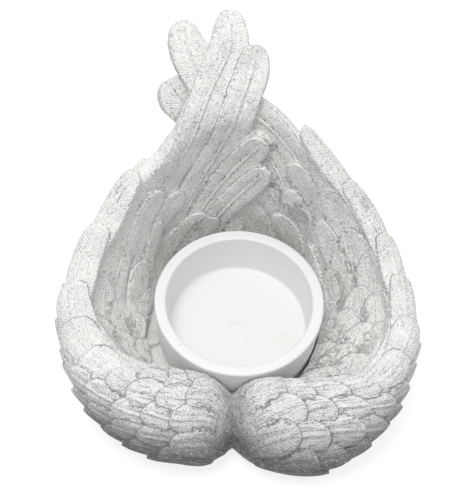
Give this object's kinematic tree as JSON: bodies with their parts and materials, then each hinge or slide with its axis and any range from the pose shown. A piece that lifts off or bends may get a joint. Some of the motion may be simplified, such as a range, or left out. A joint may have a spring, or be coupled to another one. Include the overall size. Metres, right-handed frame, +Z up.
{
  "type": "angel wing candle holder",
  "caption": "White resin bowl of two folded angel wings, tips crossing at the back, round a plain white cup for a tealight.",
  "frame": {"origin": "on the candle cup's axis, on the flat underside of the bowl", "axes": "+Z up along the cup's axis; the wings meet at the front, towards -Y, and cross their tips at the back, towards +Y; +X is to the right seen from the front"},
  "size_m": [0.1007, 0.1043, 0.0798],
  "materials": {
    "glitter_resin": "matt white cast resin with fine glitter",
    "cup_plastic": "smooth matt white moulding"
  },
  "bodies": {
    "root": {"wing_bowl": "glitter_resin", "tealight_cup": "cup_plastic"}
  },
  "joints": []
}
